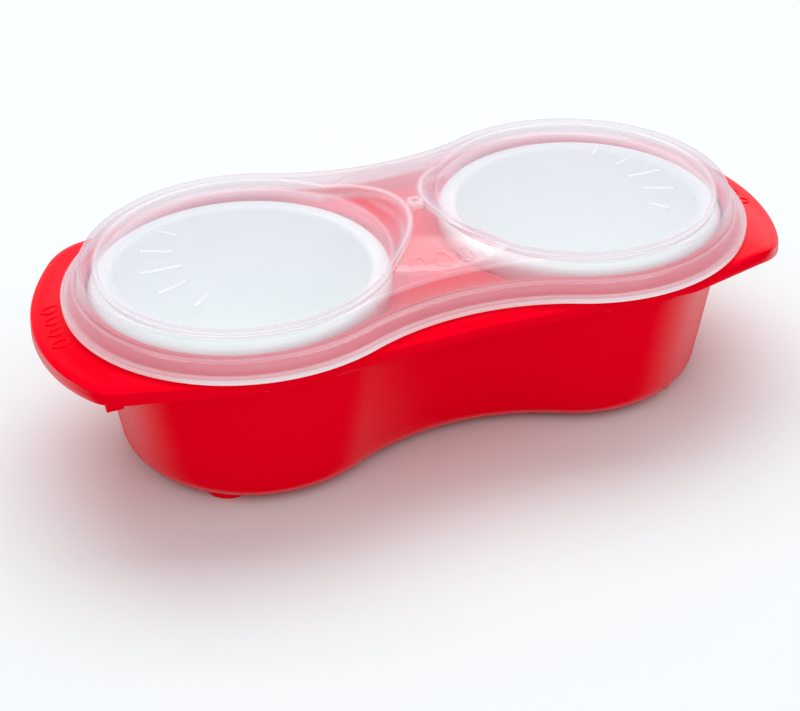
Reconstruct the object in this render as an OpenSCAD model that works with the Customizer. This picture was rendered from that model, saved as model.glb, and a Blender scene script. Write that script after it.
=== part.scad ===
// Two-cup microwave egg cooker: a waisted tub with two handles, two lift-out
// cups and one clear lid. Millimetres, +Z up, long axis along X, the feet
// stand on Z = 0 and the origin is under the middle of the waist.

/* [Layout] */
// Distance from the middle of the waist to the centre of each round end
lobe_x = 54; // [50:0.5:58]
// How much nearer the long axis the waist is than the round ends are
pinch = 11.5; // [10:0.1:13]
// Straight steps round each round end
lobe_steps = 28; // [16:2:40]
// Straight steps along each side of the waist
waist_steps = 6; // [4:1:12]

/* [Tub] */
// Radius of the wall's round ends under the flange
head_r = 50.4; // [49:0.1:51]
// Half width of the waist under the flange
head_w = 40.6; // [39:0.1:41.5]
// Distance from the middle of the waist to each round end's centre under the flange
head_lobe_x = 51.3; // [50:0.1:54]
// Radius of the wall's round ends at the floor
floor_r = 43; // [40:0.1:46]
// Half width of the waist at the floor
floor_w = 30; // [27:0.5:33]
// Distance from the middle of the waist to each round end's centre at the floor
floor_lobe_x = 53.6; // [52:0.1:55]
// Radius of the round ends of the rim's foot
rim_r = 51.4; // [51:0.1:52]
// Thickness of the tub's wall and floor
wall = 2; // [1.6:0.1:2.4]
// Radius of the edge between wall and floor
floor_edge = 6; // [4:0.5:9]
// Height of the top of the tub's rim
rim_z = 57.2; // [57:0.1:57.3]
// Height of the feet
foot_h = 1.2; // [0.8:0.1:2]
// Radius of each foot
foot_r = 8; // [5:0.5:9]

/* [Flange and handles] */
// Height of the top of the flange
flange_z = 51.6; // [51:0.1:51.8]
// Depth of the lip round the flange
lip_h = 4; // [3:0.1:5]
// Thickness of the flange and of its lip
flange_t = 2; // [1.6:0.1:2.4]
// Half width of the flange at the waist
flange_waist = 49.6; // [48:0.1:51]
// Half the length over both handles
handle_x = 118.8; // [112:0.1:122]
// Radius of each handle's end
handle_end_r = 70.2; // [60:0.1:80]
// Radius of each handle's corners
handle_corner_r = 17; // [12:0.5:20]
// Drop from the flange to the step round its edge
margin_drop = 0.8; // [0.4:0.1:1.2]
// Width of the step round the flange's edge
margin_w = 3; // [2:0.1:4]

/* [Cup seats] */
// Height of the ledge that the cups stand on
ledge_z = 50; // [49:0.1:50]
// Height of the deck between the two seats
deck_z = 53.5; // [52.5:0.1:54]
// Radius of each seat
seat_r = 49.5; // [48:0.1:50]
// Radius of each well under a cup
well_r = 42.5; // [42:0.1:43.5]
// Number of ribs that hold each cup's outer side
seat_rib_count = 3; // [2:1:4]

/* [Cups] */
// Distance from the middle of the waist to the centre of each cup
cup_x = 56.1; // [54:0.1:56.4]
// Outer radius of the cup's skirt
cup_r = 45.3; // [45:0.1:46]
// Height of the top of the cups
cup_top_z = 56.5; // [55.5:0.1:57]
// Height of the underside of the cups
cup_floor_z = 16; // [8:0.5:24]
// Radius of the flat floor of each cup
cup_floor_r = 16; // [10:0.5:22]
// Thickness of the cups
cup_t = 1.6; // [1.2:0.1:2]
// Radius of the rounded shoulder of the cups
cup_shoulder = 2.8; // [2.2:0.1:3.2]
// Width of the flat band round the top of the cups
cup_band = 1.6; // [1:0.1:4]

/* [Lid] */
// Height of the lid's flat top
lid_z = 63.5; // [63:0.1:64]
// Radius of the lid's round ends at its rim
lid_rim_r = 55.1; // [54.8:0.1:56]
// Thickness of the lid
lid_t = 1.2; // [1:0.1:1.4]
// Radius of the sunk disc over each cup
disc_r = 43.4; // [42:0.1:44]
// Depth of the sunk discs
disc_drop = 2.3; // [1.5:0.1:2.6]
// Rise of the crowned bridge between the discs
crown_h = 4.3; // [3:0.1:5]
// Radius that the crown covers
crown_reach = 35; // [34:0.1:35.2]
// Radius at which the crown's side walls end
crown_flare_r = 50; // [48:0.1:51]
// Radius of the steam vent
vent_r = 1.3; // [1.1:0.1:1.8]
// Outer radius of each raised bar's far end
bar_end_r = 32.1; // [30:0.1:35]
// Width of the raised bars
bar_w = 1.5; // [1.2:0.1:2]

/* [Hidden] */
$fn = 96;
eps = 0.05;
arc_steps = 8;
flange_low_z = flange_z - lip_h;
floor_z = foot_h + wall;
handle_slope = -0.26;
knee_x = 66;
knee_r = 30;
side_slope = 0.03;
corner_turn = atan2(1, -handle_slope);
end_x = handle_x - handle_end_r;
corner_gap = handle_end_r - handle_corner_r;
corner_angle = 31.5;
saddle_x = 34;
saddle_steps = 24;
hollow_steps = 12;
rib_t = 2;
rib_spread = 66;
foot_x = 71.5;
foot_y = 26.9;
tab_x = 105.6;
tab_y = 40.2;
tab_size = [4.8, 3.2, 3];
crown_r = (crown_reach * crown_reach + crown_h * crown_h) / (2 * crown_h);
crown_centre_z = lid_z + crown_h - crown_r;
bar_angles = [-48, -24, 0, 24, 48];
bar_start_r = 19.4;
bar_start_growth = 0.105;
bar_h = 0.5;
vent_wall = 0.9;
vent_rise = 0.3;

// Points on an arc; the two ends are left out when inner is true
function arc(centre, r, a0, a1, steps, inner = false) =
    [for (i = [inner ? 1 : 0 : inner ? steps - 1 : steps])
        let (a = a0 + (a1 - a0) * i / steps)
        [centre[0] + r * cos(a), centre[1] + r * sin(a)]];

// Plan outline: two round ends of radius r at the distance c from the middle,
// joined by tangent hollow arcs that leave the half width w at the waist
function hourglass(r, w, c) =
    let (hollow = (c * c + w * w - r * r) / (2 * (r - w)),
         y = w + hollow,
         join = atan2(y, -c),
         dip = atan2(c, y))
    concat(arc([c, 0], r, -join, join, lobe_steps),
           arc([0, y], hollow, dip - 90, -dip - 90, waist_steps, true),
           arc([-c, 0], r, 180 - join, 180 + join, lobe_steps),
           arc([0, -y], hollow, 90 + dip, 90 - dip, waist_steps, true));

// Flat cap of a ring, in triangles between the points from start on and the points back from mate
function cap(n, start, mate) =
    [for (k = [0 : n / 2 - (start == mate ? 1 : 2)])
        let (a = (start + k) % n, b = (a + 1) % n, c = (mate - k - 1 + n) % n, d = (c + 1) % n)
        each [if (b != c) [a, b, c], if (a != d) [a, c, d]]];

// Closed solid through rings of points that all have as many points; start and mate are opposite
// points of a ring at one of its ends, the same point where the ring comes to a tip
module skin(rings, start, mate) {
    n = len(rings[0]);
    last = (len(rings) - 1) * n;
    sides = [for (k = [0 : len(rings) - 2]) for (i = [0 : n - 1])
        let (a = k * n + i, b = k * n + (i + 1) % n)
        each [[a, a + n, b + n], [a, b + n, b]]];
    bottom = cap(n, start, mate);
    polyhedron([for (ring = rings) each ring],
               concat(bottom, sides, [for (f = bottom) [last + f[2], last + f[1], last + f[0]]]));
}

// Closed solid through hourglass rings, each [end radius, waist half width, z, lobe distance]
module loft(rings) {
    tip = lobe_steps / 2;
    skin([for (ring = rings) [for (p = hourglass(ring[0], ring[1], ring[3])) [p[0], p[1], ring[2]]]],
         tip, tip);
}

// Ring whose waist follows its round ends
function ring(r, z) = [r, r - pinch, z, lobe_x];

// Outside of the tub's wall at height z, drawn in by t
function wall_ring(z, t) =
    let (k = (z - foot_h) / (flange_low_z - foot_h))
    [floor_r + (head_r - floor_r) * k - t, floor_w + (head_w - floor_w) * k - t, z,
     floor_lobe_x + (head_lobe_x - floor_lobe_x) * k];

// Rounded foot of a wall, drawn in by t, from the height z up
function edge_rings(z, t, r) =
    [for (i = [0 : 4]) let (a = i * 18, top = wall_ring(z + r * (1 - cos(a)), t), d = r * (1 - sin(a)))
        [top[0] - d, top[1] - d, top[2], top[3]]];

// Outline of the flange and its handles, drawn in by t
function flange_quarter(t) =
    let (corner = [end_x + corner_gap * cos(corner_angle), corner_gap * sin(corner_angle)],
         knee_y = flange_waist + side_slope * knee_x - knee_r)
    concat(arc([end_x, 0], handle_end_r - t, 0, corner_angle, arc_steps),
           arc(corner, handle_corner_r - t, corner_angle + 5, corner_turn, arc_steps),
           arc([knee_x, knee_y], knee_r - t, corner_turn, 92, 4),
           [[0, flange_waist - t]]);

function turned(points, sx, sy) = [for (p = points) [p[0] * sx, p[1] * sy]];
function backwards(points) = [for (i = [len(points) - 1 : -1 : 0]) points[i]];

module flange_outline(t) {
    quarter = flange_quarter(t);
    half = concat(quarter, backwards([for (p = quarter) if (p[0] > 0) [-p[0], p[1]]]));
    polygon(concat(half, backwards([for (p = half) if (p[1] > 0) [p[0], -p[1]]])));
}

module each_lobe() {
    for (side = [-1, 1]) translate([side * lobe_x, 0, 0]) children();
}

// Whole outer form of the tub's wall and rim, as one solid
module tub_form() {
    loft(concat(edge_rings(foot_h, 0, floor_edge),
                [wall_ring(flange_low_z, 0), ring(rim_r, flange_z), ring(rim_r - 0.4, 53.3),
                 ring(rim_r - 1, 54.4), ring(rim_r - 1.8, 55.5), ring(rim_r - 2.2, 56.5),
                 ring(rim_r - 2.4, rim_z)]));
}

// Space inside the tub's wall
module tub_space() {
    loft(concat(edge_rings(floor_z, wall, floor_edge - wall),
                [wall_ring(flange_low_z, wall), ring(rim_r - 2.9, ledge_z),
                 ring(rim_r - 3.3, 54), ring(rim_r - 3.7, 56.5), ring(rim_r - 3.7, rim_z + 1)]));
}

// Plan of the block across the waist, cut round by two circles of radius r
module saddle_plan(r) {
    turn = acos((cup_x - saddle_x) / r);
    side = concat([[saddle_x, 60]], arc([cup_x, 0], r, 180 - turn, 180 + turn, saddle_steps),
                  [[saddle_x, -60]]);
    polygon(concat(side, [for (p = side) [-p[0], -p[1]]]));
}

module seat_ribs() {
    for (side = [0, 1], i = [0 : seat_rib_count - 1])
        rotate(180 * side) translate([cup_x, 0, 0])
            rotate((i - (seat_rib_count - 1) / 2) * rib_spread)
                translate([well_r, -rib_t / 2, -1]) cube([12, rib_t, ledge_z + 1]);
}

// What the moulding leaves standing inside the tub: deck between the seats, ledges and ribs
module tub_cavity() {
    difference() {
        tub_space();
        translate([0, 0, -1]) linear_extrude(ledge_z + 1) saddle_plan(well_r);
        translate([0, 0, ledge_z - eps]) linear_extrude(deck_z - ledge_z + eps) saddle_plan(seat_r);
        seat_ribs();
    }
}

// Ring of the hollow under the deck: its half length along Y and how far from each cup's axis it stays
function hollow_ring(half, r, z) =
    let (ys = [for (i = [0 : hollow_steps]) half * (2 * i / hollow_steps - 1)],
         side = [for (y = ys) [cup_x - sqrt(r * r - y * y), y, z]])
    concat(side, [for (p = side) [-p[0], -p[1], z]]);

// Hollow under the deck and the ledges, open below
module deck_hollow() {
    low_r = well_r + wall;
    high_r = seat_r + wall;
    low_z = ledge_z - wall;
    skin([hollow_ring(21, low_r, -1), hollow_ring(25.5, low_r, 6), hollow_ring(36, low_r, low_z),
          hollow_ring(35, high_r, low_z + eps), hollow_ring(35.5, high_r, deck_z - wall)],
         0, 2 * hollow_steps + 1);
}

module flange() {
    difference() {
        union() {
            translate([0, 0, flange_low_z]) linear_extrude(lip_h - margin_drop) flange_outline(0);
            translate([0, 0, flange_low_z]) linear_extrude(lip_h) flange_outline(margin_w);
        }
        translate([0, 0, flange_low_z - eps])
            linear_extrude(lip_h - flange_t - margin_drop + eps) flange_outline(flange_t);
    }
}

module feet() {
    for (x = [-foot_x, foot_x], y = [-foot_y, foot_y])
        translate([x, y, 0]) cylinder(h = foot_h + wall, r = foot_r);
}

// Small square catches under two opposite corners of the flange
module tabs() {
    for (turn = [0, 180])
        rotate(turn) translate([-tab_x, -tab_y, flange_low_z - tab_size[2]])
            cube([tab_size[0], tab_size[1], tab_size[2] + 2]);
}

module base() {
    color("#dc1428")
        difference() {
            union() {
                tub_form();
                flange();
                feet();
                tabs();
            }
            tub_cavity();
            deck_hollow();
        }
}

// Half section of a cup, from the outer edge of its skirt round to the inside
function cup_section() =
    let (shoulder_r = cup_r - cup_shoulder, shoulder_z = cup_top_z - cup_shoulder,
         lip_r = shoulder_r - cup_band, lip_z = cup_top_z - 2, mouth_r = lip_r - 2,
         inner_z = cup_floor_z + cup_t, outer_r = mouth_r + cup_t)
    concat([[cup_r, ledge_z + 0.2]],
           arc([shoulder_r, shoulder_z], cup_shoulder, 0, 90, 6),
           arc([lip_r, lip_z], 2, 90, 180, 5),
           [for (i = [1 : 10]) let (a = i * 9)
               [cup_floor_r + (mouth_r - cup_floor_r) * cos(a), lip_z - (lip_z - inner_z) * sin(a)]],
           [[0, inner_z], [0, cup_floor_z]],
           [for (i = [10 : -1 : 0]) let (a = i * 9)
               [cup_floor_r + (outer_r - cup_floor_r) * cos(a), lip_z - (lip_z - cup_floor_z) * sin(a)]],
           arc([shoulder_r, shoulder_z], cup_shoulder - cup_t, 90, 0, 4),
           [[cup_r - cup_t, ledge_z + 0.2]]);

module cup() {
    rotate_extrude() polygon(cup_section());
}

module cup_left() {
    color("white") translate([-cup_x, 0, 0]) cup();
}

module cup_right() {
    color("white") translate([cup_x, 0, 0]) cup();
}

// Section of the recess over a cup, widened by t: sunk disc, steep wall, then
// the flared wall that cuts the crown
module recess(t) {
    rotate_extrude()
        polygon([[0, lid_z - disc_drop - t], [disc_r + t, lid_z - disc_drop - t],
                 [disc_r + 0.5 + t, lid_z], [crown_flare_r + t, lid_z + 3.8],
                 [crown_flare_r + 2 + t, lid_z + 5], [0, lid_z + 5]]);
}

module lid_form() {
    loft([ring(lid_rim_r, 52.2), ring(lid_rim_r, 54.3), ring(lid_rim_r - 0.8, 54.5),
          ring(lid_rim_r - 1.2, 54.9), ring(lid_rim_r - 1.7, 56), ring(lid_rim_r - 2.7, 57),
          ring(lid_rim_r - 3.7, 57.6), ring(lid_rim_r - 4.4, 58.1), ring(lid_rim_r - 5.9, lid_z - 1.1),
          ring(lid_rim_r - 6.4, lid_z - 0.4), ring(lid_rim_r - 7.1, lid_z)]);
}

module lid_space() {
    loft([ring(lid_rim_r - 1.1, 51), ring(lid_rim_r - 1.1, 52.2), ring(lid_rim_r - 1.9, 53.9),
          ring(lid_rim_r - 2.5, 55), ring(lid_rim_r - 3.7, 56.2), ring(lid_rim_r - 4.9, 56.9),
          ring(lid_rim_r - 5.5, 57.6), ring(lid_rim_r - 7.4, lid_z - lid_t)]);
}

// Cap of a ball that crowns the bridge, drawn in by t
module crown(t) {
    foot_z = lid_z - t - 0.6;
    turn = asin((foot_z - crown_centre_z) / (crown_r - t));
    rotate_extrude()
        polygon(concat([[0, foot_z]], arc([0, crown_centre_z], crown_r - t, turn, 90, 12)));
}

// Raised bar with round ends from radius r0 to radius r1
module bar(r0, r1) {
    half = bar_w / 2;
    translate([0, 0, lid_z - disc_drop - eps])
        linear_extrude(bar_h + eps)
            polygon(concat(arc([r1 - half, 0], half, -90, 90, 8), arc([r0 + half, 0], half, 90, 270, 8)));
}

module bars() {
    for (side = [0, 1], a = bar_angles)
        rotate(180 * side) translate([lobe_x, 0, 0]) rotate(a)
            bar(bar_start_r + bar_start_growth * abs(a), bar_end_r);
}

module lid() {
    color([0.95, 0.92, 0.95, 0.5])
        difference() {
            union() {
                difference() {
                    union() {
                        lid_form();
                        crown(0);
                    }
                    difference() {
                        union() {
                            lid_space();
                            crown(lid_t);
                        }
                        each_lobe() recess(lid_t);
                    }
                    each_lobe() recess(0);
                }
                translate([0, 0, lid_z + crown_h - lid_t])
                    cylinder(h = lid_t + vent_rise, r = vent_r + vent_wall);
                bars();
            }
            translate([0, 0, lid_z]) cylinder(h = 10, r = vent_r);
        }
}

base();
cup_left();
cup_right();
lid();
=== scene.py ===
"""Looks of the two-cup egg cooker: a glossy red tub, two white cups and a clear lid.

Lengths below are in millimetres, as on the drawing; build() turns them into metres.
The frame is the CAD part's own: long axis along X, feet on Z = 0.
"""
import math

import bmesh
import bpy
import numpy as np
from mathutils import Euler, Matrix, Vector


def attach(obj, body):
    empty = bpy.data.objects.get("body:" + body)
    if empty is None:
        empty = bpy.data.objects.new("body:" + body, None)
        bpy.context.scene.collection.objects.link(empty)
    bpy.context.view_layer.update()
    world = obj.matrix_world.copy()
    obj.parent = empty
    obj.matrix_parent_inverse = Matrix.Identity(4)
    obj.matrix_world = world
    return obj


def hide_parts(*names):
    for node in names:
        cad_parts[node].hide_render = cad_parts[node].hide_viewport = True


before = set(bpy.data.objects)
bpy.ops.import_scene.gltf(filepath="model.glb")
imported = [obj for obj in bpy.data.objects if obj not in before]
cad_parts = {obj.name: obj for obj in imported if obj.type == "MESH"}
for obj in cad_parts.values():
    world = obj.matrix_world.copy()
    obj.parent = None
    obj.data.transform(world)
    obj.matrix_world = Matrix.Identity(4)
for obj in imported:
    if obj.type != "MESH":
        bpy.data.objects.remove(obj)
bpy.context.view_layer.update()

MM = 0.001

# ---------------------------------------------------------------- dimensions

LOBE_X = 54.0  # middle of the waist to the centre of each round end
PINCH = 11.5  # how much nearer the long axis the waist is than the round ends
LOBE_STEPS = 128  # steps round each end
WAIST_STEPS = 40  # steps along each side of the waist
MIDDLE_STEPS = 36  # steps across the lid at the waist

FOOT_H = 1.2
WALL = 2.0
WALL_FOOT = (43.0, 30.0, 53.6)  # end radius, waist half width and lobe distance at the floor
WALL_HEAD = (50.4, 40.6, 51.3)  # the same under the flange
FLOOR_EDGE = 6.0
FLANGE_Z = 51.6
LIP_LOW_Z = 47.6
RIM_FOOT_R = 51.4
RIM_Z = 57.2

HANDLE_X = 118.8
HANDLE_END_R = 70.2
HANDLE_CORNER_R = 17.0
HANDLE_CORNER_ANGLE = 31.5
FLANGE_WAIST = 49.6
FLANGE_SLOPE = 0.03  # how much the flange's long side leans out towards the handles
KNEE_X, KNEE_R = 66.0, 30.0
WAIST_HALF_X = 40.0  # how far the flange's straight middle stretch reaches each way
HANDLE_DROOP, DROOP_FROM_X = 2.4, 96.0
SIDE_TURN = 75.4  # direction, in degrees, in which the handle's corner runs into the long side
STEP_RISE, STEP_FADE_X, STEP_FADE_W = 0.62, 66.0, 26.0  # step along the edge, gone at the handles

LEDGE_Z, DECK_Z = 50.0, 53.5
SEAT_R, WELL_R = 49.5, 42.5
DECK_HALF_X = 34.0
RIB_T, RIB_SPREAD = 2.0, 66.0
FOOT_X, FOOT_Y, FOOT_R = 71.5, 26.9, 8.0
TAB_LOW, TAB_HIGH = (-105.6, -40.2, 44.6), (-100.8, -37.0, 49.0)

CUP_X, CUP_R, CUP_TOP_Z, CUP_FLOOR_Z = 56.1, 45.3, 56.5, 16.0
CUP_FLOOR_R, CUP_T, CUP_SHOULDER, CUP_BAND = 16.0, 1.6, 2.8, 1.6

LID_Z, LID_T = 63.5, 1.2
DISC_R, DISC_DROP = 43.4, 2.3
CROWN_H, CROWN_REACH = 4.3, 35.0
DISC_EDGE, HEAD_EDGE = 0.7, 1.5  # how far the disc's foot and the top of its wall are rounded
BAR_R0, BAR_R0_GROWTH, BAR_R1 = 19.4, 0.105, 32.1  # bars start farther out the more they turn
VENT_R, VENT_RING_R = 1.3, 2.2

ROW = (-1.5, -0.5, 0.5, 1.5)  # four marks in a row, in steps from its middle


# ---------------------------------------------------------------- outlines

def arc(cx, cy, r, a0, a1, steps, inner=False):
    """Points on an arc in degrees, without its two ends when inner is true."""
    a = np.radians(np.linspace(a0, a1, steps + 1))
    if inner:
        a = a[1:-1]
    return np.stack([cx + r * np.cos(a), cy + r * np.sin(a)], 1)


def hourglass(r, w, lobe=LOBE_X):
    """Plan outline of two round ends joined by tangent hollow arcs."""
    hollow = (lobe * lobe + w * w - r * r) / (2 * (r - w))
    y = w + hollow
    join = math.degrees(math.atan2(y, -lobe))
    dip = math.degrees(math.atan2(lobe, y))
    return np.concatenate([
        arc(lobe, 0, r, -join, join, LOBE_STEPS),
        arc(0, y, hollow, dip - 90, -dip - 90, WAIST_STEPS, True),
        arc(-lobe, 0, r, 180 - join, 180 + join, LOBE_STEPS),
        arc(0, -y, hollow, 90 + dip, 90 - dip, WAIST_STEPS, True),
    ])


def at_height(plan, z):
    """The plan outline at one height, or at one height per point."""
    return np.column_stack([plan, np.broadcast_to(z, len(plan))])


def ring(r, z):
    return at_height(hourglass(r, r - PINCH), z)


def rounded(points, radii, steps=5):
    """A polyline with its inner corners rounded, each by its own radius."""
    points = [np.array(p, float) for p in points]
    out = [points[0]]
    for before, corner, after, radius in zip(points, points[1:], points[2:], radii):
        reach = [min(radius, 0.48 * np.linalg.norm(p - corner)) for p in (before, after)]
        start = corner + (before - corner) / np.linalg.norm(before - corner) * reach[0]
        end = corner + (after - corner) / np.linalg.norm(after - corner) * reach[1]
        for t in np.linspace(0, 1, steps + 1):
            out.append((1 - t) ** 2 * start + 2 * t * (1 - t) * corner + t * t * end)
    out.append(points[-1])
    return out


def flange_radii():
    """Distance from a round end's centre to the flange's outline, by direction in degrees."""
    end_x = HANDLE_X - HANDLE_END_R
    gap = HANDLE_END_R - HANDLE_CORNER_R
    turn = math.radians(HANDLE_CORNER_ANGLE)
    knee_y = FLANGE_WAIST + FLANGE_SLOPE * KNEE_X - KNEE_R
    quarter = np.concatenate([
        arc(end_x, 0, HANDLE_END_R, 0, HANDLE_CORNER_ANGLE, 24),
        arc(end_x + gap * math.cos(turn), gap * math.sin(turn), HANDLE_CORNER_R,
            HANDLE_CORNER_ANGLE + 2, SIDE_TURN, 20),
        arc(KNEE_X, knee_y, KNEE_R, SIDE_TURN, 92, 12),
        [[0, FLANGE_WAIST]],
    ])
    fine = np.concatenate([
        np.linspace(a, b, 24, endpoint=False) for a, b in zip(quarter, quarter[1:])
    ] + [quarter[-1:]])
    d = fine - [LOBE_X, 0]
    return np.degrees(np.arctan2(d[:, 1], d[:, 0])), np.hypot(d[:, 0], d[:, 1])


FLANGE_ANGLES, FLANGE_RADII = flange_radii()


def droop(x):
    """How far the handles sink at x below the flange's level."""
    t = np.clip((np.abs(x) - DROOP_FROM_X) / (HANDLE_X - DROOP_FROM_X), 0, 1)
    return HANDLE_DROOP * t * t * (3 - 2 * t)


def flange_ring(inset, z, least):
    """The flange's outline drawn in, but nowhere inside the hourglass of end radius least.

    Points move along lines from a pivot: a lobe's centre at the ends, straight across at the waist.
    """
    base = hourglass(RIM_FOOT_R, RIM_FOOT_R - PINCH)
    side = np.sign(base[:, 0])
    out = np.clip(np.abs(base[:, 0]) / WAIST_HALF_X, 0, 1)
    pivot = np.stack([side * LOBE_X * out * out * (3 - 2 * out), np.zeros(len(base))], 1)
    d = base - pivot
    length = np.hypot(d[:, 0], d[:, 1])
    unit = d / length[:, None]
    angle = np.degrees(np.arctan2(np.abs(d[:, 1]), d[:, 0] * side))
    climb = np.maximum(np.abs(unit[:, 1]) - FLANGE_SLOPE * unit[:, 0] * side, 0.3)
    waist = (FLANGE_WAIST + FLANGE_SLOPE * np.abs(pivot[:, 0])) / climb
    reach = np.where(out < 1, waist, np.interp(angle, FLANGE_ANGLES, FLANGE_RADII)) - inset
    reach = np.maximum(reach, length + least - RIM_FOOT_R)
    plan = pivot + unit * reach[:, None]
    return at_height(plan, z - droop(plan[:, 0]))


def wall_ring(z, t):
    """The tub's wall at height z, drawn in by t."""
    k = (z - FOOT_H) / (LIP_LOW_Z - FOOT_H)
    r, w, lobe = (a + (b - a) * k for a, b in zip(WALL_FOOT, WALL_HEAD))
    return hourglass(r - t, w - t, lobe)


def edge_rings(z, t, r):
    """Rings of the rounded edge between a floor at height z and the wall."""
    rings = []
    for a in np.radians(np.linspace(0, 90, 10)):
        height = z + r * (1 - math.cos(a))
        d = r * (1 - math.sin(a))
        rings.append(at_height(wall_ring(height, t + d), height))
    return rings


# ---------------------------------------------------------------- meshes

def skin(rings, close=True):
    """Vertices and faces of a closed skin through rings that all have as many points."""
    n = len(rings[0])
    faces = []
    for k in range(len(rings) - 1):
        for i in range(n):
            a, b = k * n + i, k * n + (i + 1) % n
            faces.append((a, b, b + n, a + n))
    if close:
        faces.append(tuple(range(n))[::-1])
        faces.append(tuple((len(rings) - 1) * n + i for i in range(n)))
    return np.concatenate(rings), faces


def build(name, vertices, faces):
    """A mesh object from millimetre vertices."""
    mesh = bpy.data.meshes.new(name)
    mesh.from_pydata((np.asarray(vertices) * MM).tolist(), [], faces)
    bm = bmesh.new()
    bm.from_mesh(mesh)
    bmesh.ops.remove_doubles(bm, verts=bm.verts, dist=1e-7)
    bmesh.ops.recalc_face_normals(bm, faces=bm.faces)
    bm.to_mesh(mesh)
    bm.free()
    piece = bpy.data.objects.new(name, mesh)
    bpy.context.scene.collection.objects.link(piece)
    return piece


def smooth(piece, angle=35):
    mesh = piece.data
    mesh.shade_smooth()
    mesh.set_sharp_from_angle(angle=math.radians(angle))


def combine(piece, operation, *tools):
    """Applies an exact boolean with each tool, then deletes the tools."""
    for tool in tools:
        modifier = piece.modifiers.new(operation, "BOOLEAN")
        modifier.operation = operation
        modifier.solver = "EXACT"
        modifier.object = tool
    bpy.context.view_layer.update()
    graph = bpy.context.evaluated_depsgraph_get()
    mesh = bpy.data.meshes.new_from_object(piece.evaluated_get(graph))
    piece.modifiers.clear()
    piece.data = mesh
    for tool in tools:
        bpy.data.objects.remove(tool)


def join(piece, *others):
    """Adds the other objects' meshes to piece, as closed shells of the same moulding."""
    bm = bmesh.new()
    bm.from_mesh(piece.data)
    for other in others:
        bm.from_mesh(other.data)
        bpy.data.objects.remove(other)
    bm.to_mesh(piece.data)
    bm.free()


def lathe(name, profile, centre=(0, 0), steps=128):
    """A closed solid turned about a vertical axis.

    The profile starts and ends on the axis, or closes on itself.
    """
    profile = np.array(profile, float)
    on_axis = profile[0][0] < 1e-6
    body = profile[1:-1] if on_axis else profile
    rings = []
    for r, z in body:
        rings.append(at_height(arc(centre[0], centre[1], r, 0, 360 - 360 / steps, steps - 1), z))
    if not on_axis:
        rings.append(rings[0])
    vertices, faces = skin(rings, close=False)
    if on_axis:
        vertices = np.concatenate([vertices, [[*centre, profile[0][1]], [*centre, profile[-1][1]]]])
        low, high, last = len(vertices) - 2, len(vertices) - 1, (len(rings) - 1) * steps
        for i in range(steps):
            j = (i + 1) % steps
            faces.append((low, j, i))
            faces.append((high, last + i, last + j))
    return build(name, vertices, faces)


BOX_FACES = [(0, 2, 3, 1), (4, 5, 7, 6), (0, 1, 5, 4), (2, 6, 7, 3), (0, 4, 6, 2), (1, 3, 7, 5)]


def box(name, low, high):
    xs, ys, zs = zip(low, high)
    vertices = [(x, y, z) for z in zs for y in ys for x in xs]
    return build(name, vertices, BOX_FACES)


# ---------------------------------------------------------------- tub

def tub_shell():
    """Floor, wall, flange, handles and rim as one closed skin."""
    rings = edge_rings(FOOT_H, 0, FLOOR_EDGE)
    rings += [at_height(wall_ring(z, 0), z) for z in np.linspace(FOOT_H + FLOOR_EDGE + 3, 48.4, 10)]
    # round the flange's edge, from under it to its top: how far drawn in, and height
    edge = [(5.0, 49.35), (2.0, 49.35), (1.75, 48.9), (1.5, 47.9), (1.1, LIP_LOW_Z), (0.5, LIP_LOW_Z),
            (0.1, 47.8), (0, 48.2), (0.15, 49.6), (0.3, 50.5), (0.6, 50.85), (1.2, 50.95),
            (2.3, 50.98), (2.7, 51.1), (3.0, 51.4), (3.4, 51.55), (4.2, FLANGE_Z), (6.5, FLANGE_Z)]
    for i, (inset, z) in enumerate(edge):
        clear = 0.5 + 0.5 * math.sin(math.pi * i / (len(edge) - 1))
        turned = flange_ring(inset, z, RIM_FOOT_R + clear)
        if z > 49.7:  # the part of the edge above its step
            fade = np.clip((np.abs(turned[:, 0]) - STEP_FADE_X) / STEP_FADE_W, 0, 1)
            turned[:, 2] += STEP_RISE * fade * fade * (3 - 2 * fade) * min(1, (FLANGE_Z - z) / 0.6)
        rings.append(turned)
    # over the raised rim: how far inside its foot, and height
    rim = rounded([(-0.4, FLANGE_Z), (0, FLANGE_Z), (0.4, 53.4), (1.7, 55.4), (2.4, RIM_Z), (3.7, RIM_Z),
                   (3.3, 53.5), (2.9, 50.0)], [0.4, 1.4, 1.4, 0.6, 0.6, 3])
    rings += [ring(RIM_FOOT_R - inset, z) for inset, z in rim]
    inside = edge_rings(FOOT_H + WALL, WALL, FLOOR_EDGE - WALL)
    inside += [at_height(wall_ring(z, WALL), z) for z in np.linspace(12, 48, 8)]
    rings += inside[::-1]
    return build("tub", *skin(rings))


def wall_reach(a, z):
    """Distance from a cup's axis to the outside of the wall at angle a and height z."""
    k = (z - FOOT_H) / (LIP_LOW_Z - FOOT_H)
    r, _, lobe = (low + (high - low) * k for low, high in zip(WALL_FOOT, WALL_HEAD))
    back = lobe - CUP_X
    return back * math.cos(a) + math.sqrt(r * r - (back * math.sin(a)) ** 2)


def hollow_ring(half, r, z):
    """Ring of the hollow under the deck.

    half is its half length along Y, and r is how far it stays from each cup's axis.
    """
    y = half * np.linspace(-1, 1, 25)
    x = CUP_X - np.sqrt(r * r - y * y)
    return at_height(np.concatenate([np.stack([x, y], 1), np.stack([-x, -y], 1)]), z)


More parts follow.
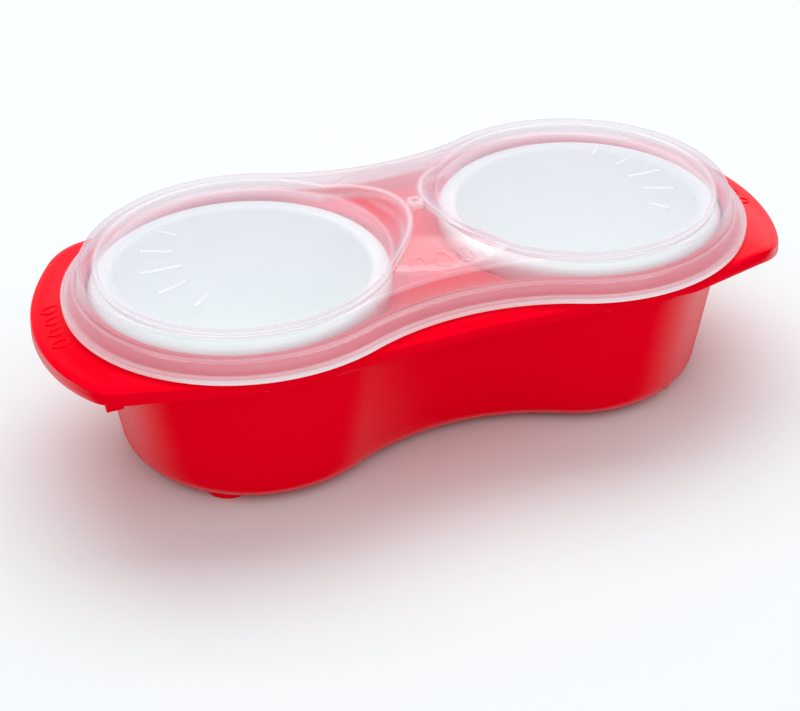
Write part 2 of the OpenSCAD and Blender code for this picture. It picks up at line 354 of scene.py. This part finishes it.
def hollow():
    """Space under the deck and the ledges, open below."""
    low_r, high_r, low_z = WELL_R + WALL, SEAT_R + WALL, LEDGE_Z - WALL
    return build("hollow", *skin([
        hollow_ring(21, low_r, -1), hollow_ring(25.5, low_r, 6), hollow_ring(36, low_r, low_z),
        hollow_ring(35, high_r, low_z + 0.01), hollow_ring(35.5, high_r, DECK_Z - WALL)]))


def rib(side, turn):
    """Upright rib that carries a cup's outer side, at a direction from the cup's axis in degrees."""
    a = math.radians(turn)
    foot_z = next(z for z in range(8, 50) if wall_reach(a, z) > WELL_R + 1.2)
    shape = []
    for z in (foot_z, LEDGE_Z):
        for y in (-RIB_T / 2, RIB_T / 2):
            for r in (WELL_R, wall_reach(a, z) - 0.8):
                x = r * math.cos(a) - y * math.sin(a)
                shape.append((side * (CUP_X + x), r * math.sin(a) + y * math.cos(a), z))
    return build("rib", shape, BOX_FACES)


def supports():
    """Deck between the cups' seats and the ribs that carry each cup's outer side.

    The deck stays a little inside the wall's outer face at every height.
    """
    inside = ((2.2, 7), (4, 3.5), (8.5, 1), (20, 1), (40, 1), (48, 1))
    block = [at_height(wall_ring(z, t), z) for z, t in inside]
    block += [ring(RIM_FOOT_R - 2.3, DECK_Z)]
    deck = build("deck", *skin(block))
    ends = box("deck_ends", (-DECK_HALF_X, -60, 0), (DECK_HALF_X, 60, 60))
    combine(deck, "INTERSECT", ends)
    seat = rounded([(0, -2), (WELL_R, -2), (WELL_R, LEDGE_Z), (SEAT_R, LEDGE_Z),
                    (SEAT_R, DECK_Z), (SEAT_R + 3, DECK_Z + 0.1), (0, DECK_Z + 8)],
                   [0, 0.6, 0.4, 0.9, 0.3], 4)
    tools = [lathe("seat", seat, (side * CUP_X, 0)) for side in (-1, 1)]
    combine(deck, "DIFFERENCE", *tools, hollow())
    ribs = [rib(side, turn) for side in (-1, 1) for turn in (-RIB_SPREAD, 0, RIB_SPREAD)]
    return [deck, *ribs]


def tab(turn):
    """Small catch under the flange, turned about the middle of the cooker."""
    piece = box("tab", TAB_LOW, TAB_HIGH)
    piece.data.transform(Matrix.Rotation(turn, 4, "Z"))
    return piece


def feet():
    """Four round feet; each one's top is buried in the floor."""
    top = FOOT_H + 0.7
    profile = rounded([(0, 0), (FOOT_R, 0), (FOOT_R, top), (0, top)], [0.5, 0.1], 4)
    return [lathe("foot", profile, (x, y), 64) for x in (-FOOT_X, FOOT_X) for y in (-FOOT_Y, FOOT_Y)]


tub = tub_shell()
combine(tub, "DIFFERENCE", hollow())
join(tub, *supports(), *feet(), tab(0), tab(math.pi))


# ---------------------------------------------------------------- cups

def cup(name, x):
    """A white cup: round bowl, flat rim and a short skirt down to the ledge."""
    shoulder = (CUP_R - CUP_SHOULDER, CUP_TOP_Z - CUP_SHOULDER)
    lip_r, lip_z = shoulder[0] - CUP_BAND, CUP_TOP_Z - 2
    mouth_r, inner_z = lip_r - 2, CUP_FLOOR_Z + CUP_T
    bowl = np.radians(np.linspace(3, 90, 30))
    inner = [(CUP_FLOOR_R + (mouth_r - CUP_FLOOR_R) * math.cos(a), lip_z - (lip_z - inner_z) * math.sin(a))
             for a in bowl]
    outer = [(CUP_FLOOR_R + (mouth_r + CUP_T - CUP_FLOOR_R) * math.cos(a),
              lip_z - (lip_z - CUP_FLOOR_Z) * math.sin(a)) for a in bowl[::-1]]
    profile = [(0, inner_z), *inner[::-1]]
    profile += [*arc(lip_r, lip_z, 2, 180, 90, 8), *arc(*shoulder, CUP_SHOULDER, 90, 0, 10)]
    profile += [(CUP_R, LEDGE_Z + 0.5), (CUP_R - 0.3, LEDGE_Z + 0.2), (CUP_R - CUP_T + 0.3, LEDGE_Z + 0.2),
                (CUP_R - CUP_T, LEDGE_Z + 0.5)]
    profile += [*arc(*shoulder, CUP_SHOULDER - CUP_T, 0, 90, 6), *outer[::-1], (0, CUP_FLOOR_Z)]
    piece = lathe(name, profile, (x, 0), 192)
    smooth(piece, 50)
    return piece


cups = {"cup_left": cup("white_cup_left", -CUP_X), "cup_right": cup("white_cup_right", CUP_X)}


# ---------------------------------------------------------------- lid

def crown(x, y):
    """Rise of the bridge above the lid's flat top."""
    q = np.clip((x * x + y * y) / CROWN_REACH ** 2, 0, 1)
    return CROWN_H * (1 - q) * (1 + 0.15 * q)


def flare(inward):
    """How far a disc's wall leans out for each unit of rise.

    inward is the cosine of the angle from the direction to the bridge.
    """
    off_axis = np.degrees(np.arccos(np.clip(inward, -1, 1)))
    return 0.2 + 0.88 * np.cos(np.radians(np.clip(off_axis / 52, 0, 1) * 90)) ** 2


def bezier(a, b, c, steps):
    """Stations on a corner rounded from a, past b, to c; each is an array per direction."""
    t = np.linspace(0, 1, steps)[:, None]
    return (1 - t) ** 2 * a + 2 * t * (1 - t) * b + t * t * c


def lid_top(edge, t):
    """Half of the lid's top, lowered by t: closed stations of points about the round end's centre.

    They run out from the disc, up its wall and over the top to the edge ring or the waist's middle line.
    """
    n = len(edge)
    half = WAIST_STEPS // 2
    order = [*range(n - half, n), *range(LOBE_STEPS + half + 1)]
    loop = edge[order, :2]
    across = loop[-1, 1] * (1 - 2 * np.arange(1, MIDDLE_STEPS) / MIDDLE_STEPS)
    middle = np.column_stack([np.zeros(MIDDLE_STEPS - 1), across])
    loop = np.concatenate([loop, middle])
    d = loop - [LOBE_X, 0]
    reach = np.hypot(d[:, 0], d[:, 1])
    unit = d / reach[:, None]
    slope = flare(-unit[:, 0])
    foot_r, disc_z, top_z = DISC_R + t, LID_Z - DISC_DROP - t, LID_Z - t

    def height(r):
        p = [LOBE_X, 0] + unit * np.broadcast_to(r, reach.shape)[:, None]
        return top_z + crown(p[:, 0], p[:, 1])

    head_r = np.full_like(reach, foot_r)
    for _ in range(6):
        head_r = foot_r + slope * (height(head_r) - disc_z)
    head_z = height(head_r)
    wall_r, wall_z = head_r - foot_r, head_z - disc_z
    length = np.hypot(wall_r, wall_z)
    low = DISC_EDGE / length
    turn = np.minimum(HEAD_EDGE, 0.42 * (reach - head_r))
    high = 1 - np.minimum(turn, 0.4 * length) / length
    radii = [np.full_like(reach, r) for r in (0.5, 10, 20, 30, 38)]
    heights = [np.full_like(reach, disc_z)] * 5
    corner = np.array([[foot_r - DISC_EDGE + 0 * reach, foot_r + 0 * reach, foot_r + low * wall_r],
                       [disc_z + 0 * reach, disc_z + 0 * reach, disc_z + low * wall_z]])
    radii += list(bezier(*corner[0], 6))
    heights += list(bezier(*corner[1], 6))
    for k in (0.25, 0.5, 0.75):
        share = low + (high - low) * k
        radii.append(foot_r + share * wall_r)
        heights.append(disc_z + share * wall_z)
    after = head_r + turn
    corner = np.array([[foot_r + high * wall_r, head_r, after],
                       [disc_z + high * wall_z, head_z, height(after)]])
    radii += list(bezier(*corner[0], 9))
    heights += list(bezier(*corner[1], 9))
    for k in np.linspace(0, 1, 13)[1:]:
        r = after + (reach - after) * k
        radii.append(r)
        heights.append(height(r))
    return [np.column_stack([[LOBE_X, 0] + unit * r[:, None], h]) for r, h in zip(radii, heights)]


def lid_shell():
    """The lid as one closed shell: outer skin, inner skin and the lip that joins them."""
    # end radius and height, from the lip up
    outside = rounded([(54.3, 52.2), (55.1, 52.2), (55.1, 53.15), (54.85, 53.3), (55.1, 53.45), (55.1, 54.4),
                       (54.1, 54.7), (53.7, 56.0), (52.5, 57.1), (51.3, 57.55), (50.6, 58.2),
                       (48.9, 63.5), (47.2, LID_Z)],
                      [0.3, 0.1, 0.15, 0.1, 0.35, 0.4, 1.2, 1.0, 0.5, 0.5, 1.3], 4)
    inside = rounded([(54.3, 52.2), (53.9, 52.2), (53.0, 54.4), (52.6, 55.2), (51.6, 56.2), (50.5, 56.6),
                      (49.5, 57.4), (47.9, LID_Z - LID_T), (46.6, LID_Z - LID_T)],
                     [0.3, 0.5, 0.8, 0.8, 0.6, 0.6, 1.0], 4)
    outer = [ring(r, z) for r, z in outside]
    inner = [ring(r, z) for r, z in inside]
    vertices, faces = skin(inner[::-1] + outer[1:], close=False)
    patches = [vertices]
    count = len(vertices)
    for edge, t in ((outer[-1], 0), (inner[-1], LID_T)):
        grid = lid_top(edge, t)
        for turn in (1, -1):
            for station in grid:
                patches.append(station * [turn, turn, 1])
            m = len(grid[0])
            for k in range(len(grid) - 1):
                for i in range(m):
                    a, b = count + k * m + i, count + k * m + (i + 1) % m
                    faces.append((a, b, b + m, a + m))
            faces.append(tuple(count + i for i in range(m))[::-1])
            count += m * len(grid)
    return build("clear_lid", np.concatenate(patches), faces)


def bar(side, turn, r0, r1, width=1.6, height=0.7):
    """A short raised bar with a rounded top on a sunk disc."""
    rings = []
    for inset, z in ((0, -0.3), (0, height * 0.4), (0.18, height * 0.8), (0.45, height)):
        plan = np.concatenate([arc(r1 - width / 2, 0, width / 2 - inset, -90, 90, 12),
                               arc(r0 + width / 2, 0, width / 2 - inset, 90, 270, 12)])
        rings.append(at_height(plan, LID_Z - DISC_DROP + z))
    piece = build("bar", *skin(rings))
    place = Matrix.Rotation(0 if side > 0 else math.pi, 4, "Z") @ Matrix.Translation((LOBE_X * MM, 0, 0))
    piece.data.transform(place @ Matrix.Rotation(math.radians(turn), 4, "Z"))
    return piece


def bars():
    """Five bars on each disc, fanned out on the side away from the bridge."""
    return [bar(side, turn, BAR_R0 + BAR_R0_GROWTH * abs(turn), BAR_R1)
            for side in (-1, 1) for turn in (-48, -24, 0, 24, 48)]


def near(value, centre, width):
    """1 at the centre, falling off smoothly over the width."""
    return np.exp(-((value - centre) / width) ** 2)


def paint_lid_highlights(piece):
    """Paints highlights into the lid: a mark per vertex that makes the haze milkier and whiter along the
    discs' walls, the lip, skirt, shoulder, bead, bars and vent ring, where light draws bright lines.
    """
    mesh = piece.data
    p = np.empty(len(mesh.vertices) * 3, np.float32)
    mesh.vertices.foreach_get("co", p)
    x, y, z = p.reshape(-1, 3).T / MM
    dx = np.abs(x) - LOBE_X
    d = np.maximum(np.hypot(dx, y), 1e-3)
    head_r = DISC_R + flare(-dx / d) * (DISC_DROP + crown(x, y))
    disc_z = LID_Z - DISC_DROP
    on_top = z > disc_z - LID_T - 0.2
    # each mark paints a highlight line into the haze where light draws a bright line on the plastic
    marks = [
        near(d, head_r, 0.75) * on_top,  # top of each disc's wall
        0.5 * near(d, DISC_R, 0.6) * on_top,  # foot of each disc's wall
        1.5 * np.clip((54.2 - z) / 0.5, 0, 1),  # lip
        0.2 * np.clip((58.2 - z) / 0.8, 0, 1),  # skirt
        0.55 * near(z, 62.9, 0.45) * (d > 46.5),  # shoulder
        0.7 * near(z, 57.7, 0.35),  # bead over the tub's rim
        0.6 * ((d < DISC_R - 1) & (z > disc_z + 0.15)),  # bars
        0.8 * ((np.hypot(x, y) < VENT_RING_R + 0.4) & (z > LID_Z + CROWN_H - 1.4)),  # vent ring
    ]
    layer = mesh.attributes.new("painted_highlight", "FLOAT", "POINT")
    layer.data.foreach_set("value", np.max(marks, axis=0).astype(np.float32))


def boss():
    """Small ring round the vent, before the vent is cut."""
    low, high = LID_Z + CROWN_H - 0.9, LID_Z + CROWN_H + 0.3
    profile = rounded([(0, low), (VENT_RING_R, low), (VENT_RING_R, high), (0, high)], [0.1, 0.35], 4)
    return lathe("boss", profile, steps=48)


def vent():
    """The round hole through the bridge."""
    low, high = LID_Z + CROWN_H - 3, LID_Z + CROWN_H + 2
    return lathe("vent", [(0, low), (VENT_R, low), (VENT_R, high), (0, high)], steps=40)


lid = lid_shell()
combine(lid, "UNION", *bars())
combine(lid, "UNION", boss())
combine(lid, "DIFFERENCE", vent())


# ---------------------------------------------------------------- marks

def egg(width, height, steps=48):
    """Plan outline of an egg standing along Y, blunt end down."""
    a = np.radians(np.arange(steps) * 360 / steps)
    y = height / 2 * np.sin(a)
    return np.stack([width / 2 * np.cos(a) * (1 - 0.13 * np.sin(a)), y], 1)


def egg_mark(width, height, line, rise, place, surface):
    """A raised egg outline lying on a surface given as height over x and y."""
    inner = egg(width - 2 * line, height - 2 * line)
    soft_out = egg(width - 0.3 * line, height - 0.3 * line)
    soft_in = egg(width - 1.7 * line, height - 1.7 * line)
    outer = egg(width, height)
    turn, x, y = place
    c, s = math.cos(turn), math.sin(turn)
    rings = []
    for plan, lift in ((outer, -0.4), (outer, rise * 0.6), (soft_out, rise), (soft_in, rise),
                       (inner, rise * 0.6), (inner, -0.4), (outer, -0.4)):
        plan = plan @ np.array([[c, s], [-s, c]]) + [x, y]
        rings.append(at_height(plan, surface(plan[:, 0], plan[:, 1]) + lift))
    return build("mark", *skin(rings, close=False))


def handle_top(x, y):
    return FLANGE_Z - droop(x)


def bridge_top(x, y):
    return LID_Z + crown(x, y)


def handle_marks(side):
    """A row of marks on one handle, to be read from outside."""
    return [egg_mark(4.2, 5.6, 0.7, 0.4, (-math.pi / 2 * side, side * 112.0, side * 6.4 * k), handle_top)
            for k in ROW]


def bridge_marks():
    return [egg_mark(5.2, 6.6, 0.8, 0.35, (0, 7.2 * k, -30.6), bridge_top) for k in ROW]


join(tub, *handle_marks(1))
join(tub, *handle_marks(-1))
smooth(tub, 32)

combine(lid, "UNION", *bridge_marks())
# paints highlight lines into the lid's haze
paint_lid_highlights(lid)
smooth(lid, 32)


# ---------------------------------------------------------------- finishes

def finish_of(name):
    """An empty node material, with its node tree and its output node."""
    material = bpy.data.materials.new(name)
    material.use_nodes = True
    tree = material.node_tree
    tree.nodes.clear()
    out = tree.nodes.new("ShaderNodeOutputMaterial")
    return material, tree, out


def noise(tree, scale):
    place = tree.nodes.new("ShaderNodeTexCoord")
    node = tree.nodes.new("ShaderNodeTexNoise")
    node.inputs["Scale"].default_value = scale
    tree.links.new(place.outputs["Object"], node.inputs["Vector"])
    return node.outputs["Fac"]


def spread(tree, value, low, high):
    """A value between 0 and 1 mapped to the range from low to high."""
    node = tree.nodes.new("ShaderNodeMapRange")
    node.inputs["To Min"].default_value = low
    node.inputs["To Max"].default_value = high
    tree.links.new(value, node.inputs["Value"])
    return node.outputs["Result"]


def facing_power(tree, power):
    """How far the surface turns away from the eye, 0 to 1, raised to a power."""
    facing = tree.nodes.new("ShaderNodeLayerWeight")
    facing.inputs["Blend"].default_value = 0.5
    node = tree.nodes.new("ShaderNodeMath")
    node.operation = "POWER"
    node.inputs[1].default_value = power
    tree.links.new(facing.outputs["Facing"], node.inputs[0])
    return node.outputs[0]


def mix(tree, share, first, second):
    """Mixes two shaders by a share, a number or another node's output."""
    node = tree.nodes.new("ShaderNodeMixShader")
    if isinstance(share, float):
        node.inputs["Fac"].default_value = share
    else:
        tree.links.new(share, node.inputs["Fac"])
    tree.links.new(first.outputs[0], node.inputs[1])
    tree.links.new(second.outputs[0], node.inputs[2])
    return node


def bump(tree, value, strength, distance):
    node = tree.nodes.new("ShaderNodeBump")
    node.inputs["Strength"].default_value = strength
    node.inputs["Distance"].default_value = distance
    tree.links.new(value, node.inputs["Height"])
    return node.outputs["Normal"]


def red_plastic():
    """Saturated red that gleams only at a low angle and lets some red light through its walls."""
    material, tree, out = finish_of("red_gloss_plastic")
    body = tree.nodes.new("ShaderNodeBsdfPrincipled")
    body.inputs["Base Color"].default_value = (0.89, 0.0004, 0.013, 1)
    body.inputs["Specular IOR Level"].default_value = 0.0
    tree.links.new(bump(tree, noise(tree, 1500), 0.02, 0.00002), body.inputs["Normal"])
    gloss = tree.nodes.new("ShaderNodeBsdfGlossy")
    tree.links.new(spread(tree, noise(tree, 30), 0.24, 0.28), gloss.inputs["Roughness"])
    low_angle = tree.nodes.new("ShaderNodeMapRange")
    low_angle.interpolation_type = "SMOOTHSTEP"
    low_angle.inputs["From Min"].default_value = 0.42
    low_angle.inputs["From Max"].default_value = 0.78
    low_angle.inputs["To Max"].default_value = 0.3
    tree.links.new(facing_power(tree, 1.0), low_angle.inputs["Value"])
    # the gloss comes in at a low angle only
    skim = mix(tree, low_angle.outputs["Result"], body, gloss)
    # the walls dim a light's rays instead of stopping them, so that shadows turn red
    glow = tree.nodes.new("ShaderNodeBsdfTransparent")
    glow.inputs["Color"].default_value = (1, 0, 0.02, 1)
    ray = tree.nodes.new("ShaderNodeLightPath")
    share = tree.nodes.new("ShaderNodeMath")
    share.operation = "MULTIPLY"
    share.inputs[1].default_value = 0.5
    tree.links.new(ray.outputs["Is Shadow Ray"], share.inputs[0])
    both = mix(tree, share.outputs[0], skim, glow)
    tree.links.new(both.outputs[0], out.inputs["Surface"])
    return material


def cup_plastic():
    material, tree, out = finish_of("white_cup_plastic")
    body = tree.nodes.new("ShaderNodeBsdfPrincipled")
    body.inputs["Base Color"].default_value = (0.93, 0.965, 0.95, 1)
    body.inputs["IOR"].default_value = 1.5
    tree.links.new(spread(tree, noise(tree, 50), 0.3, 0.4), body.inputs["Roughness"])
    tree.links.new(bump(tree, noise(tree, 1500), 0.02, 0.00002), body.inputs["Normal"])
    tree.links.new(body.outputs[0], out.inputs["Surface"])
    return material


def lid_plastic():
    """Thin clear plastic: light goes straight through, with a gloss on top, a slight milky haze, and
    highlights painted into the haze along its edges and marks.
    """
    material, tree, out = finish_of("clear_lid_plastic")
    clear = tree.nodes.new("ShaderNodeBsdfTransparent")
    clear.inputs["Color"].default_value = (0.965, 1.0, 0.985, 1)
    painted_highlight = tree.nodes.new("ShaderNodeAttribute")
    painted_highlight.attribute_name = "painted_highlight"
    # the haze is pink, and turns whiter where the painted highlight mark is set
    tint = tree.nodes.new("ShaderNodeMixRGB")
    tint.inputs["Color1"].default_value = (1.0, 0.84, 1.0, 1)
    tint.inputs["Color2"].default_value = (1.0, 0.98, 1.0, 1)
    tree.links.new(painted_highlight.outputs["Fac"], tint.inputs["Fac"])
    scatter = tree.nodes.new("ShaderNodeBsdfDiffuse")
    through = tree.nodes.new("ShaderNodeBsdfTranslucent")
    tree.links.new(tint.outputs["Color"], scatter.inputs["Color"])
    tree.links.new(tint.outputs["Color"], through.inputs["Color"])
    haze = mix(tree, 0.4, scatter, through)
    gloss = tree.nodes.new("ShaderNodeBsdfGlossy")
    tree.links.new(spread(tree, noise(tree, 40), 0.11, 0.15), gloss.inputs["Roughness"])
    # the haze grows at a low angle, where the way through is longer, and where the painted highlight mark is
    # set
    longer = tree.nodes.new("ShaderNodeMath")
    longer.operation = "MULTIPLY_ADD"
    longer.inputs[1].default_value = 0.55
    tree.links.new(facing_power(tree, 3.0), longer.inputs[0])
    tree.links.new(spread(tree, noise(tree, 25), 0.10, 0.13), longer.inputs[2])
    cloud = tree.nodes.new("ShaderNodeMath")
    cloud.operation = "MULTIPLY_ADD"
    cloud.inputs[1].default_value = 0.5
    cloud.use_clamp = True
    tree.links.new(painted_highlight.outputs["Fac"], cloud.inputs[0])
    tree.links.new(longer.outputs[0], cloud.inputs[2])
    milky = mix(tree, cloud.outputs[0], clear, haze)
    coat = mix(tree, spread(tree, facing_power(tree, 4.0), 0.035, 0.8), milky, gloss)
    tree.links.new(coat.outputs[0], out.inputs["Surface"])
    return material


def floor_paint():
    material, tree, out = finish_of("studio_floor")
    body = tree.nodes.new("ShaderNodeBsdfPrincipled")
    body.inputs["Base Color"].default_value = (0.73, 0.768, 0.77, 1)
    tree.links.new(spread(tree, noise(tree, 8), 0.55, 0.65), body.inputs["Roughness"])
    tree.links.new(body.outputs[0], out.inputs["Surface"])
    return material


def paint(piece, material):
    piece.data.materials.clear()
    piece.data.materials.append(material)


paint(tub, red_plastic())
paint(lid, lid_plastic())
white = cup_plastic()
for piece in cups.values():
    paint(piece, white)


# ---------------------------------------------------------------- stage

bpy.ops.mesh.primitive_plane_add(size=8, location=(0, 0, 0))
floor = bpy.context.object
floor.name = "floor"
paint(floor, floor_paint())

world = bpy.data.worlds.new("studio")
bpy.context.scene.world = world
world.use_nodes = True
world.node_tree.nodes["Background"].inputs["Color"].default_value = (0.94, 0.97, 1.0, 1)
world.node_tree.nodes["Background"].inputs["Strength"].default_value = 0.66


def soft_light(name, place, aim, size, power):
    light = bpy.data.lights.new(name, "AREA")
    light.shape = "RECTANGLE"
    light.size, light.size_y = size
    light.energy = power
    piece = bpy.data.objects.new(name, light)
    bpy.context.scene.collection.objects.link(piece)
    piece.location = place
    piece.rotation_euler = (Vector(aim) - Vector(place)).to_track_quat("-Z", "Y").to_euler()


soft_light("top_box", (0.14, 0.44, 1.05), (0, 0, 0), (1.3, 0.8), 9.6)
soft_light("front_box", (-0.1, -0.6, 1.0), (0, 0, 0.02), (1.4, 1.0), 3.0)

camera = bpy.data.cameras.new("camera")
camera.lens = 62.562
camera.sensor_width = 36
camera.sensor_fit = "HORIZONTAL"
camera.clip_start = 0.01
eye = bpy.data.objects.new("camera", camera)
bpy.context.scene.collection.objects.link(eye)
eye.location = (-0.137524, -0.351487, 0.266072)
level = Euler((math.radians(90 - 34.053), 0, math.radians(-20.538)), "XYZ").to_matrix()
eye.rotation_euler = (level @ Matrix.Rotation(math.radians(-1.08), 3, "Z")).to_euler()
bpy.context.scene.camera = eye

bpy.context.scene.view_settings.view_transform = "Standard"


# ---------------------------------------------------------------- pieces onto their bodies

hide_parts("base")
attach(tub, "tub")
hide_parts("lid")
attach(lid, "lid")
for node, piece in cups.items():
    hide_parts(node)
    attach(piece, node)
